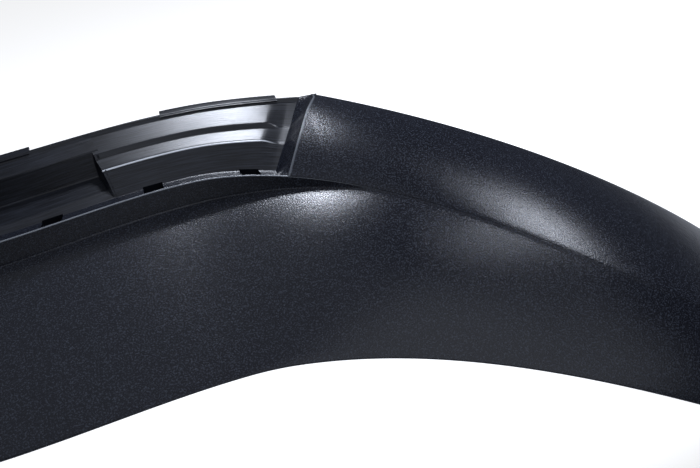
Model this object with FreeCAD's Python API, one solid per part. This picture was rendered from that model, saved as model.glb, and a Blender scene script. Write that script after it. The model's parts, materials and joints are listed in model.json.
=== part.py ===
import FreeCAD, Part
import math
import os

# Lower bumper spoiler of a passenger car, one injection moulding in black plastic.
# It lies on its back like a bridge: X runs across the car, Y is the car's up, Z is the car's forward.
# A section is drawn at each station of the plan curve, in two measures: height (along Y) and
# reach (outwards, square to the plan curve). Lengths are in millimetres, stations in radians.

# Plan curve of the lower edge: an ellipse about the car's centre line
plan_half_width = 810.0
plan_depth = 425.0
crown_height = 290.0
wall = 3.0

# At rest the lower edge tips towards the ground, so that the weight stays over the wing ends
rest_lean = 6.0

# Lower edge: height at the centre, rise to the shoulder, drop to the wing end
edge_centre = -16.0
edge_rise = 20.0
edge_rise_end = 0.31
edge_drop = 117.0
edge_drop_start = 0.255
edge_drop_end = 0.99

# Seat line under the bumper skin, which runs on as the crease of each wing
seat_centre = 172.0
seat_rise = 29.0
seat_rise_end = 0.28
seat_drop = 238.0
seat_drop_start = 0.24
seat_drop_end = 0.95
seat_reach = 75.0
wing_taper = 28.0
taper_start = 0.30
taper_end = 1.25

# Upper edge: the flange behind the bumper skin, and the wings that stay in view
flange_centre = 285.0
flange_rise = 24.0
flange_rise_end = 0.30
flange_setback = 12.0
upper_reach = 104.0
wing_top = 309.0
wing_top_start = 0.40
wing_top_end = 1.12
wing_top_drop = 215.0
wing_top_power = 1.5

# Apron below the seat line
apron_bulge = 7.0
wing_bulge = 6.0
ledge_depth = 22.0
ledge_thickness = 3.0
ledge_fade_start = 0.22
ledge_fade_end = 0.48
rim_inset = 2.0
crease_step = 0.4

# Stepped flange: heights as shares of the flange, reaches from the line between its edges
seat_slope_height = 25.0
seat_slope_depth = 10.0
ridge_share = 0.50
ridge_width = 4.0
ridge_depth = 8.0
groove_share = 0.72
groove_width = 3.0
groove_foot_depth = 6.0
tread_depth = 1.0
lip_height = 6.0
lip_depth = 2.0

# Deeper pocket in the middle of the flange
pocket_depth = 22.0
pocket_roof_share = 0.78
pocket_floor_share = 0.66
pocket_station_low = 0.142
pocket_station_high = 0.117
pocket_lean = 8.0

# End of the flange's recess, a slanting wall up to the wing
recess_station_low = 0.368
recess_station_high = 0.405
recess_lean = 9.0
wall_inset = 0.7

# Tabs on the flange's upper edge that hook behind the bumper skin
tab_height = 9.0
tab_root = 5.0
tab_thickness = 2.4
tab_setback = 0.9
side_tab_start = 0.222
side_tab_end = 0.372
centre_tab_half = 0.066

# Clip windows in the sloping seat
window_width = 17.0
window_height = 13.0
window_foot = 6.0
window_pitch = 0.117
first_window = 0.079
windows_per_side = 3

# Screw flange at each wing end, flat on the ground
foot_start = 1.0
foot_width = 30.0
foot_thickness = 3.0
screw_hole = 6.5
screw_spacing = 90.0

# Stations, and the size of the cutting blocks
plan_end = 1.45
apron_sections = 41
wing_sections = 16
flange_sections = 9
overrun = 0.04
station_precision = 1e-9
far = 2000.0


def smooth(value):
    """Ease from 0 to 1 with flat ends."""
    held = min(max(value, 0.0), 1.0)
    return held * held * (3.0 - 2.0 * held)


def edge_height(station):
    """Height of the lower edge."""
    away = abs(station)
    lifted = edge_centre + edge_rise * smooth(away / edge_rise_end)
    return lifted - edge_drop * smooth((away - edge_drop_start) / (edge_drop_end - edge_drop_start))


def seat_height(station):
    """Height of the seat line and the wing crease."""
    away = abs(station)
    lifted = seat_centre + seat_rise * smooth(away / seat_rise_end)
    return lifted - seat_drop * smooth((away - seat_drop_start) / (seat_drop_end - seat_drop_start))


def taper(station):
    """How far the section has drawn in towards the wing end."""
    return wing_taper * smooth((abs(station) - taper_start) / (taper_end - taper_start))


def seat_outreach(station):
    """Reach of the seat line."""
    return seat_reach - taper(station)


def ledge(station):
    """Overhang of the seat above the apron, which runs out beside the recess."""
    faded = smooth((abs(station) - ledge_fade_start) / (ledge_fade_end - ledge_fade_start))
    return ledge_depth * (1.0 - faded)


def flange_top(station):
    """Height and reach of the flange's upper edge."""
    height = flange_centre + flange_rise * smooth(abs(station) / flange_rise_end)
    return height, upper_reach - taper(station) - flange_setback


def wing_edge(station):
    """Height and reach of the wing's upper edge."""
    along = (abs(station) - wing_top_start) / (wing_top_end - wing_top_start)
    left = 1.0 - min(max(along, 0.0), 1.0)
    return wing_top - wing_top_drop * (1.0 - left ** wing_top_power), upper_reach - taper(station)


def place(station, height, reach):
    """Point in space of a section's point."""
    normal_x = plan_depth * math.sin(station)
    normal_z = plan_half_width * math.cos(station)
    size = math.hypot(normal_x, normal_z)
    x = plan_half_width * math.sin(station) + reach * normal_x / size
    z = crown_height + plan_depth * (math.cos(station) - 1.0) + reach * normal_z / size
    return FreeCAD.Vector(x, height, z)


def outward(station):
    """Unit vector square to the plan curve."""
    return place(station, 0.0, 1.0) - place(station, 0.0, 0.0)


def offset(points, distance):
    """Section points moved to the inner side, with mitred corners."""
    moved = []
    for index, (height, reach) in enumerate(points):
        pairs = ((index - 1, index), (index, index + 1))
        sides = [pair for pair in pairs if pair[0] >= 0 and pair[1] < len(points)]
        across_height = 0.0
        across_reach = 0.0
        for first, second in sides:
            rise = points[second][0] - points[first][0]
            run = points[second][1] - points[first][1]
            across_height += run / math.hypot(rise, run)
            across_reach -= rise / math.hypot(rise, run)
        scale = len(sides) * distance / (across_height ** 2 + across_reach ** 2)
        moved.append((height + across_height * scale, reach + across_reach * scale))
    return moved


def stroke(station, start, end, bulge):
    """Straight or bulged edge between two section points."""
    first = place(station, *start)
    last = place(station, *end)
    if bulge == 0.0:
        return Part.LineSegment(first, last).toShape()
    rise = end[0] - start[0]
    run = end[1] - start[1]
    size = math.hypot(rise, run)
    middle_height = (start[0] + end[0]) / 2.0 - bulge * run / size
    middle_reach = (start[1] + end[1]) / 2.0 + bulge * rise / size
    return Part.Arc(first, place(station, middle_height, middle_reach), last).toShape()


def outline(station, outer, inner, bulges):
    """Closed wire of a section from its outer and inner points."""
    edges = [stroke(station, *ends) for ends in zip(outer, outer[1:], bulges)]
    edges.append(stroke(station, outer[-1], inner[-1], 0.0))
    back = [stroke(station, *ends) for ends in zip(inner, inner[1:], bulges)]
    edges += reversed(back)
    edges.append(stroke(station, inner[0], outer[0], 0.0))
    return Part.Wire(Part.__sortEdges__(edges))


def stations(start, end, count):
    """Evenly spaced stations."""
    return [start + (end - start) * index / (count - 1) for index in range(count)]


def loft(section, start, end, count):
    """Solid through sections, each given as outer points, inner points and bulges."""
    wires = [outline(station, *section(station)) for station in stations(start, end, count)]
    return Part.makeLoft(wires, True, False)


def skin(points, bulges):
    """Section of one wall thickness behind its outer points."""
    return points, offset(points, wall), bulges


def apron_section(station):
    """Apron with the overhanging ledge that ends in the rim."""
    height = seat_height(station)
    reach = seat_outreach(station)
    points = [
        (edge_height(station), 0.0),
        (height - ledge_thickness, reach - ledge(station) - rim_inset),
        (height, reach),
    ]
    return skin(points, [apron_bulge, 0.0])


def wing_points(station):
    """Outer points of the wing above the crease."""
    height = seat_height(station)
    reach = seat_outreach(station)
    return [
        (height + crease_step, reach - wall + crease_step),
        (height + crease_step * 2.0, reach - crease_step),
        wing_edge(station),
    ]


def wing_section(station):
    """Wing above the crease, rooted in the apron's wall."""
    return skin(wing_points(station), [0.0, wing_bulge])


def along_flange(station, share, depth):
    """Point at a share of the flange's height, set back from the line between its edges."""
    low = seat_height(station)
    high, high_reach = flange_top(station)
    low_reach = seat_outreach(station)
    return low + share * (high - low), low_reach + share * (high_reach - low_reach) - depth


def flange_root(station):
    """Root of the flange inside the ledge, and the inner end of the sloping seat."""
    height = seat_height(station)
    reach = seat_outreach(station)
    return [
        (height + wall / 2.0, reach - rim_inset),
        (height + seat_slope_height, reach - seat_slope_depth),
    ]


def flange_crown(station):
    """Upper tread and lip of the flange."""
    top = flange_top(station)
    foot = (top[0] - lip_height, top[1] - lip_depth)
    return [foot, (foot[0] + lip_depth, top[1]), top]


def flange_points(station):
    """Outer points of the stepped flange."""
    ridge = along_flange(station, ridge_share, ridge_depth)
    foot = along_flange(station, groove_share, groove_foot_depth)
    tread = along_flange(station, groove_share, tread_depth)
    steps = [ridge, (ridge[0] + ridge_width, ridge[1]), foot, (tread[0] + groove_width, tread[1])]
    return flange_root(station) + steps + flange_crown(station)


def flange_section(station):
    """Stepped flange of one wall thickness."""
    points = flange_points(station)
    return skin(points, [0.0] * (len(points) - 1))


def pocket_section(station):
    """Flange with the deeper pocket under its upper tread."""
    low = flange_root(station)[-1]
    floor = along_flange(station, pocket_floor_share, pocket_depth)
    roof = along_flange(station, pocket_roof_share, tread_depth)
    bottom = (low[0] + seat_slope_depth, floor[1])
    points = flange_root(station) + [bottom, floor, roof] + flange_crown(station)
    return skin(points, [0.0] * (len(points) - 1))


def recess_wall_section(station):
    """Filled space between the wing's face and the back of the flange."""
    outer = offset([wing_points(station)[1], wing_edge(station)], wall_inset)
    inner = offset([flange_root(station)[-1], flange_top(station)], wall - wall_inset)
    return outer, inner, [wing_bulge]


def pocket_wall_section(station):
    """Filled space between the flange's lower face and the back of the pocket."""
    low = flange_root(station)[-1]
    roof = along_flange(station, pocket_roof_share, tread_depth)
    outer = offset([low, along_flange(station, ridge_share, ridge_depth), roof], wall_inset)
    floor = along_flange(station, pocket_floor_share, pocket_depth)
    inner = offset([(low[0] + seat_slope_depth, floor[1]), floor, roof], wall - wall_inset)
    return outer, inner, [0.0, 0.0]


def tab_section(station):
    """Tab standing on the flange's upper edge."""
    height, reach = flange_top(station)
    points = [(height - tab_root, reach - tab_setback), (height + tab_height, reach - tab_setback)]
    return points, offset(points, tab_thickness), [0.0]


def end_plane(low_station, high_station, lean):
    """Point and outward normal of a slanting end across the flange."""
    low = place(low_station, seat_height(low_station), seat_outreach(low_station))
    high = place(high_station, *flange_top(high_station))
    deep = low - outward(low_station) * flange_setback - FreeCAD.Vector(lean, 0.0, 0.0)
    return low, (high - low).cross(deep - low).normalize()


def beyond(plane, shift):
    """Large block on the outward side of a slanting end."""
    point, normal = plane
    direction = normal if normal.x > 0.0 else normal * -1.0
    block = Part.makeBox(far, far, far, FreeCAD.Vector(-far / 2.0, -far / 2.0, 0.0))
    block.Placement = FreeCAD.Placement(
        point + direction * shift,
        FreeCAD.Rotation(FreeCAD.Vector(0.0, 0.0, 1.0), direction),
    )
    return block


def both_sides(shape):
    """A shape and its mirror image across the car's centre line."""
    return [shape, shape.mirror(FreeCAD.Vector(), FreeCAD.Vector(1.0, 0.0, 0.0))]


def slab(section, plane, low_station, high_station):
    """Wall along a slanting end, cut from the filled space between two faces."""
    low = min(low_station, high_station) - overrun
    high = max(low_station, high_station) + overrun
    filled = loft(section, low, high, flange_sections)
    return filled.common(beyond(plane, 0.0)).cut(beyond(plane, wall))


def make_flange(recess_plane, pocket_plane):
    """Right-hand stepped flange between the pocket and the recess end."""
    strip = loft(flange_section, pocket_station_high - overrun, recess_station_high + overrun, flange_sections)
    return strip.cut(beyond(recess_plane, wall / 2.0)).common(beyond(pocket_plane, wall / 2.0))


def make_pocket(pocket_plane):
    """Middle of the flange, cut at both slanting sides."""
    reach = pocket_station_low + overrun
    strip = loft(pocket_section, -reach, reach, flange_sections)
    for block in both_sides(beyond(pocket_plane, wall / 2.0)):
        strip = strip.cut(block)
    return strip


def make_wing(recess_plane):
    """Right-hand wing from the recess end to past the ground."""
    strip = loft(wing_section, recess_station_low - overrun, plan_end, wing_sections)
    return strip.common(beyond(recess_plane, -crease_step))


def make_windows():
    """Blocks that cut the clip windows through the sloping seat."""
    blocks = []
    for index in range(windows_per_side):
        station = first_window + index * window_pitch
        middle = place(station, seat_height(station) + window_foot, seat_outreach(station))
        block = Part.makeBox(window_width, window_height, 2.0 * ledge_depth)
        block.translate(FreeCAD.Vector(-window_width / 2.0, 0.0, -ledge_depth * 1.5))
        turn = FreeCAD.Rotation(FreeCAD.Vector(0.0, 0.0, 1.0), outward(station))
        block.Placement = FreeCAD.Placement(middle, turn).multiply(block.Placement)
        blocks += both_sides(block)
    return blocks


def laid_down(shape):
    """A shape turned from the section's axes to its rest on the ground."""
    turned = shape.copy()
    turned.rotate(FreeCAD.Vector(), FreeCAD.Vector(1.0, 0.0, 0.0), rest_lean)
    return turned


def foot_outline(station):
    """Outer points of the wing end from its lower to its upper edge."""
    crease = (seat_height(station), seat_outreach(station))
    return [(edge_height(station), 0.0), crease, wing_edge(station)]


def foot_section(station):
    """Filled strip inside the wing end, from the wall inwards."""
    outer = foot_outline(station)
    return offset(outer, wall_inset), offset(outer, foot_width), [0.0, 0.0]


def face_reach(station, height):
    """Reach of the wing end's outer face at a height."""
    points = foot_outline(station)
    low, high = points[:2] if height < points[1][0] else points[1:]
    return low[1] + (high[1] - low[1]) * (height - low[0]) / (high[0] - low[0])


def foot_middle(height):
    """Point on the ground in the middle of the screw flange, at a section height."""
    turn = FreeCAD.Rotation(FreeCAD.Vector(1.0, 0.0, 0.0), rest_lean)
    low = taper_start
    high = plan_end
    while high - low > station_precision:
        middle = (low + high) / 2.0
        point = turn.multVec(place(middle, height, face_reach(middle, height) - foot_width / 2.0))
        low, high = (middle, high) if point.z > 0.0 else (low, middle)
    return point


def make_foot():
    """Right-hand screw flange, flat on the ground, with its holes."""
    strip = laid_down(loft(foot_section, foot_start, plan_end, flange_sections))
    plate = strip.common(Part.makeBox(far, far, foot_thickness, FreeCAD.Vector(0.0, -far / 2.0, 0.0)))
    middle_height = (edge_height(plan_end) + wing_edge(plan_end)[0]) / 2.0
    for side in (-0.5, 0.5):
        base = foot_middle(middle_height + side * screw_spacing)
        base.z = -foot_thickness
        plate = plate.cut(Part.makeCylinder(screw_hole / 2.0, 3.0 * foot_thickness, base))
    return plate


def make_spoiler():
    """The whole moulding, cut level with the ground."""
    recess_plane = end_plane(recess_station_low, recess_station_high, recess_lean)
    pocket_plane = end_plane(pocket_station_low, pocket_station_high, pocket_lean)
    pieces = [make_pocket(pocket_plane), loft(tab_section, -centre_tab_half, centre_tab_half, flange_sections)]
    pieces += both_sides(make_flange(recess_plane, pocket_plane))
    pieces += both_sides(make_wing(recess_plane))
    pieces += both_sides(slab(recess_wall_section, recess_plane, recess_station_low, recess_station_high))
    pieces += both_sides(slab(pocket_wall_section, pocket_plane, pocket_station_low, pocket_station_high))
    pieces += both_sides(loft(tab_section, side_tab_start, side_tab_end, flange_sections))
    body = loft(apron_section, -plan_end, plan_end, apron_sections)
    body = body.multiFuse(pieces)
    ground = Part.makeBox(2.0 * far, 2.0 * far, far, FreeCAD.Vector(-far, -far, -far))
    for block in make_windows():
        body = body.cut(block)
    body = laid_down(body).cut(ground)
    body = body.multiFuse(both_sides(make_foot())).removeSplitter()
    box = body.optimalBoundingBox()
    body.translate(FreeCAD.Vector(0.0, -(box.YMin + box.YMax) / 2.0, 0.0))
    return body


def main():
    """Build the spoiler and write it out."""
    os.makedirs("parts", exist_ok=True)
    spoiler = make_spoiler()
    print("solids", len(spoiler.Solids), "valid", spoiler.isValid(), "volume", spoiler.Volume)
    box = spoiler.optimalBoundingBox()
    print("size", box.XLength, box.YLength, box.ZLength)
    spoiler.Solids[0].exportStep("parts/bumper_spoiler.step")


if __name__ == "__main__":
    main()
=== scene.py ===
"""Visual model of a lower bumper spoiler, a black plastic moulding that lies on its back like a bridge.

Every surface is a section carried along the plan curve of the lower edge. A section is drawn in two measures,
height (towards the car's up) and reach (outwards, square to the plan curve), both in millimetres.
"""

from __future__ import annotations

import json
import logging
import math
from collections.abc import Callable
from dataclasses import dataclass, replace
from enum import Enum

import bpy
import numpy as np
from mathutils import Matrix, Vector

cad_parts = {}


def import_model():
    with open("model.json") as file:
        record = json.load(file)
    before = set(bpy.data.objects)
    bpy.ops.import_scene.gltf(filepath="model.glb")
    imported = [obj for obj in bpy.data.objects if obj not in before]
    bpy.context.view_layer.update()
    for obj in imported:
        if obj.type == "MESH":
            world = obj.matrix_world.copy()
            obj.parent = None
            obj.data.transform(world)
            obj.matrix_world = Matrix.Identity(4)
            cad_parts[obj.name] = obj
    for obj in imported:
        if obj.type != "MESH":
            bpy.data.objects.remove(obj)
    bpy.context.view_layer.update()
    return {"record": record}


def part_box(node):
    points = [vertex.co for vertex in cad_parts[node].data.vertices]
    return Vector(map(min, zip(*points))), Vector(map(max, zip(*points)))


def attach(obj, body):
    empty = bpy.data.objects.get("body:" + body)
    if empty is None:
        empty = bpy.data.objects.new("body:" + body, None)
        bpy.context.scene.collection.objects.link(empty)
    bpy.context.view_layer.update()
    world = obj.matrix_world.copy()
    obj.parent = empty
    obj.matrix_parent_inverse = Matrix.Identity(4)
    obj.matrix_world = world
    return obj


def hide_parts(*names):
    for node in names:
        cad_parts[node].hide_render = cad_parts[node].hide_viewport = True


LOG = logging.getLogger("bumper_spoiler")
MM = 0.001
NODE = "bumper_spoiler"
PHOTO_WIDTH_PX = 700
WHITE = (1.0, 1.0, 1.0, 1.0)
# Sockets of a colour Mix node, by number because its other data types have the same names
MIX_A, MIX_B, MIX_RESULT = 6, 7, 2
# Most of a side that the rounding of one corner may use up
ROUNDING_LIMIT = 0.45
# Stations at which the lowest edge is looked for
FIT_STATIONS = 4001
Section = Callable[[np.ndarray], np.ndarray]


class Side(Enum):
    """Half of the car that a piece belongs to."""

    RIGHT = 1.0
    LEFT = -1.0

    @property
    def word(self) -> str:
        """Word for the side in the names of its pieces."""
        return self.name.lower()


def linear(hex_colour: str) -> tuple[float, float, float, float]:
    """Turn an sRGB hex colour to linear light.

    Args:
        hex_colour: Six hex digits after a hash sign.

    Returns:
        Linear red, green, blue and an alpha of one.
    """
    parts = np.array([int(hex_colour[at:at + 2], 16) for at in (1, 3, 5)]) / 255.0
    light = np.where(parts <= 0.04045, parts / 12.92, ((parts + 0.055) / 1.055) ** 2.4)
    return (*map(float, light), 1.0)


def smooth(value: np.ndarray) -> np.ndarray:
    """Ease from 0 to 1 with flat ends: three times the square less twice the cube."""
    held = np.clip(value, 0.0, 1.0)
    return held * held * (3.0 - 2.0 * held)


def eased(station: np.ndarray, start: float, end: float) -> np.ndarray:
    """Ease from 0 to 1 with the distance from the centre line, in the way of smooth().

    Args:
        station: Angles on the plan curve, of either sign.
        start: Angle at which the ease begins.
        end: Angle at which it is full.

    Returns:
        One share per station.
    """
    return smooth((np.abs(station) - start) / (end - start))


@dataclass(frozen=True)
class SpoilerForm:
    """Guide curves of the moulding, as functions of the station on the plan curve, in radians."""

    plan_half_width: float = 810.0
    plan_depth: float = 425.0
    crown_height: float = 290.0
    rest_lean: float = 6.0
    wall: float = 3.0
    edge_centre: float = -16.0
    edge_rise: float = 20.0
    edge_rise_end: float = 0.31
    edge_drop: float = 117.0
    edge_drop_start: float = 0.255
    edge_drop_end: float = 0.99
    seat_centre: float = 172.0
    seat_rise: float = 29.0
    seat_rise_end: float = 0.28
    seat_drop: float = 238.0
    seat_drop_start: float = 0.24
    seat_drop_end: float = 0.95
    seat_reach: float = 75.0
    wing_taper: float = 28.0
    taper_start: float = 0.30
    taper_end: float = 1.25
    flange_centre: float = 279.0
    flange_rise: float = 26.0
    flange_rise_end: float = 0.297
    flange_setback: float = 5.0
    upper_reach: float = 104.0
    wing_top: float = 309.0
    wing_top_start: float = 0.40
    wing_top_end: float = 1.12
    wing_top_drop: float = 215.0
    wing_top_power: float = 1.5
    wing_bulge: float = 6.0
    wing_bulge_near: float = 10.0
    wing_bulge_start: float = 0.40
    wing_bulge_end: float = 0.60
    ledge_depth: float = 22.0
    ledge_fade_start: float = 0.22
    ledge_fade_end: float = 0.48
    # Stations of the slanting ends, at the seat and at the upper edge
    recess_ends: tuple[float, float] = (0.353, 0.418)
    pocket_ends: tuple[float, float] = (0.157, 0.127)
    plan_end: float = 1.45
    rest_shift: float = 0.0

    def edge_height(self, station: np.ndarray) -> np.ndarray:
        """Height of the lower edge: an eased rise to the shoulder, then an eased drop to the wing."""
        lifted = self.edge_centre + self.edge_rise * eased(station, 0.0, self.edge_rise_end)
        return lifted - self.edge_drop * eased(station, self.edge_drop_start, self.edge_drop_end)

    def seat_height(self, station: np.ndarray) -> np.ndarray:
        """Height of the seat line and wing crease, eased in the same way as the lower edge."""
        lifted = self.seat_centre + self.seat_rise * eased(station, 0.0, self.seat_rise_end)
        return lifted - self.seat_drop * eased(station, self.seat_drop_start, self.seat_drop_end)

    def taper(self, station: np.ndarray) -> np.ndarray:
        """How far the section has drawn in towards the wing end."""
        return self.wing_taper * eased(station, self.taper_start, self.taper_end)

    def ledge(self, station: np.ndarray) -> np.ndarray:
        """Overhang of the seat above the apron, which runs out beside the recess."""
        return self.ledge_depth * (1.0 - eased(station, self.ledge_fade_start, self.ledge_fade_end))

    def seat_line(self, station: np.ndarray) -> np.ndarray:
        """Section point of the rim and crease."""
        return point(self.seat_height(station), self.seat_reach - self.taper(station))

    def flange_top(self, station: np.ndarray) -> np.ndarray:
        """Section point of the flange's upper edge."""
        height = self.flange_centre + self.flange_rise * eased(station, 0.0, self.flange_rise_end)
        return point(height, self.upper_reach - self.taper(station) - self.flange_setback)

    def wing_edge(self, station: np.ndarray) -> np.ndarray:
        """Section point of the wing's upper edge, which falls steeply at first and then levels out.

        Args:
            station: Angles on the plan curve.

        Returns:
            One section point per station.
        """
        along = (np.abs(station) - self.wing_top_start) / (self.wing_top_end - self.wing_top_start)
        left = 1.0 - np.clip(along, 0.0, 1.0)
        height = self.wing_top - self.wing_top_drop * (1.0 - left ** self.wing_top_power)
        return point(height, self.upper_reach - self.taper(station))

    def wing_crown(self, station: np.ndarray) -> np.ndarray:
        """Bulge of the wing, eased from full beside the recess to shallower on the corner."""
        grown = eased(station, self.wing_bulge_start, self.wing_bulge_end)
        return self.wing_bulge_near + (self.wing_bulge - self.wing_bulge_near) * grown

    def slanted(self, heights: np.ndarray, ends: tuple[float, float]) -> np.ndarray:
        """Station on a slanting end, in proportion to the height.

        Args:
            heights: Section heights in millimetres.
            ends: Stations at the seat and at the upper edge.

        Returns:
            One station per height.
        """
        low = self.seat_height(np.array(ends[0]))
        high = self.wing_edge(np.array(ends[1]))[0]
        share = np.clip((heights - low) / (high - low), 0.0, 1.0)
        return ends[0] + share * (ends[1] - ends[0])

    def at_rest(self, across: np.ndarray, height: np.ndarray, forward: np.ndarray) -> np.ndarray:
        """Turn millimetres on the section's axes into metres at rest.

        Args:
            across: Distance across the car.
            height: Distance along the car's up.
            forward: Distance above the ground before the part leans.

        Returns:
            Points leaned about the X axis and moved to the frame's origin.
        """
        lean = math.radians(self.rest_lean)
        y = height * math.cos(lean) - forward * math.sin(lean) + self.rest_shift
        z = height * math.sin(lean) + forward * math.cos(lean)
        return np.stack([across, y, z], axis=-1) * MM

    def place(self, station: np.ndarray, section: np.ndarray) -> np.ndarray:
        """Point in space of a section point: the ellipse's point plus the reach along its normal.

        Args:
            station: Angles on the plan ellipse.
            section: Heights and reaches in the last axis, in millimetres.

        Returns:
            Points in metres at rest.
        """
        normal_x = self.plan_depth * np.sin(station)
        normal_z = self.plan_half_width * np.cos(station)
        size = np.hypot(normal_x, normal_z)
        across = self.plan_half_width * np.sin(station) + section[..., 1] * normal_x / size
        crown = self.crown_height + self.plan_depth * (np.cos(station) - 1.0)
        return self.at_rest(across, section[..., 0], crown + section[..., 1] * normal_z / size)


def point(height: np.ndarray | float, reach: np.ndarray | float) -> np.ndarray:
    """Section points from heights and reaches, one of which may be the same for all."""
    return np.stack(np.broadcast_arrays(height, reach), axis=-1)


def polyline(*points: np.ndarray) -> np.ndarray:
    """Open section outlines with one point of each array in turn."""
    return np.stack(points, axis=1)


def bulged(start: np.ndarray, end: np.ndarray, bulge: np.ndarray | float, count: int) -> np.ndarray:
    """Points along a parabola: the straight line plus four times the bulge times s times one less s.

    Args:
        start: First section points.
        end: Last section points.
        bulge: Height of the parabola over its chord in millimetres, one for all or one per station.
        count: Number of points, both ends included.

    Returns:
        Section points, with the place along the parabola in the second axis.
    """
    share = np.linspace(0.0, 1.0, count)[None, :, None]
    bulge = np.asarray(bulge, float).reshape(-1, 1, 1)
    chord = (end - start)[:, None, :]
    size = np.linalg.norm(chord, axis=-1, keepdims=True)
    outwards = np.stack([-chord[..., 1], chord[..., 0]], axis=-1) / size
    return start[:, None, :] + chord * share + outwards * 4.0 * bulge * share * (1.0 - share)


def offset(points: np.ndarray, distance: float) -> np.ndarray:
    """Section outlines moved to the inner side, with mitred corners.

    Args:
        points: Open outlines, one row of points per station.
        distance: Distance between the two outlines, in millimetres.

    Returns:
        The moved outlines: each point plus the sum of its sides' normals, scaled to keep the distance.
    """
    step = np.diff(points, axis=1)
    normal = np.stack([step[..., 1], -step[..., 0]], axis=-1)
    normal /= np.linalg.norm(normal, axis=-1, keepdims=True)
    before = np.concatenate([normal[:, :1], normal], axis=1)
    after = np.concatenate([normal, normal[:, -1:]], axis=1)
    total = before + after
    return points + total * 2.0 * distance / np.sum(total * total, axis=-1, keepdims=True)


def rounded_ring(outer: np.ndarray, inner: np.ndarray, radii: np.ndarray, samples: int) -> np.ndarray:
    """Closed sections with rounded corners: each corner is a quadratic curve between its two sides.

    Args:
        outer: Outer outlines.
        inner: Inner outlines with as many points.
        radii: Rounding of each outer point, in millimetres.
        samples: Points on each corner.

    Returns:
        Rings that run along the outer outline and back along the inner one.
    """
    ring = np.concatenate([outer, inner[:, ::-1]], axis=1)
    reach = np.concatenate([radii, radii[::-1]])[None, :]
    back = np.roll(ring, 1, axis=1) - ring
    ahead = np.roll(ring, -1, axis=1) - ring
    back_size = np.linalg.norm(back, axis=-1)
    ahead_size = np.linalg.norm(ahead, axis=-1)
    cut = np.minimum(reach, ROUNDING_LIMIT * np.minimum(back_size, ahead_size))
    first = ring + back * (cut / back_size)[..., None]
    last = ring + ahead * (cut / ahead_size)[..., None]
    share = np.linspace(0.0, 1.0, samples)[None, None, :, None]
    ends = (1 - share) ** 2 * first[:, :, None] + share ** 2 * last[:, :, None]
    curve = ends + 2 * share * (1 - share) * ring[:, :, None]
    return curve.reshape(len(ring), -1, 2)


def linked(name: str, data: bpy.types.ID) -> bpy.types.Object:
    """Make an object of a mesh, lamp or camera and link it into the scene.

    Args:
        name: Name of the object.
        data: Mesh, lamp or camera that it shows.

    Returns:
        The new object.
    """
    made = bpy.data.objects.new(name, data)
    bpy.context.scene.collection.objects.link(made)
    return made


def bare_material(name: str) -> bpy.types.Material:
    """Make a material whose node tree is empty.

    Args:
        name: Name of the material.

    Returns:
        The new material.
    """
    made = bpy.data.materials.new(name)
    made.use_nodes = True
    made.node_tree.nodes.clear()
    return made


def add_node(tree: bpy.types.NodeTree, kind: str, settings: dict | None = None,
             links: dict | None = None) -> bpy.types.Node:
    """Add a node with its settings and links.

    Args:
        tree: Node tree of a material or the world.
        kind: Node type.
        settings: Values by input name or number, or by attribute name where there is no such input.
        links: Output sockets by input name or number.

    Returns:
        The new node.
    """
    added = tree.nodes.new(kind)
    for name, value in (settings or {}).items():
        if isinstance(name, int) or name in added.inputs:
            added.inputs[name].default_value = value
        else:
            setattr(added, name, value)
    for name, output in (links or {}).items():
        tree.links.new(output, added.inputs[name])
    return added


def mix_painted_highlight(tree: bpy.types.NodeTree, colour: bpy.types.NodeSocket, pale: str) -> bpy.types.NodeSocket:
    """Mix a colour with the pale one of a painted highlight, by the mesh's attribute that marks the glinting
    edges.

    Args:
        tree: Node tree of the material.
        colour: Colour of the surface away from the marked edges.
        pale: Colour of the painted highlight on the marked edges, as sRGB hex.

    Returns:
        The mixed colour.
    """
    # Painted highlight: marked rounded edges turn pale in place of a glint of light
    highlight_share = add_node(tree, "ShaderNodeAttribute", {"attribute_name": "painted_highlight"})
    mixed = add_node(tree, "ShaderNodeMix", {"data_type": "RGBA", MIX_B: linear(pale)},
                     {"Factor": highlight_share.outputs["Fac"], MIX_A: colour})
    return mixed.outputs[MIX_RESULT]


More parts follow.
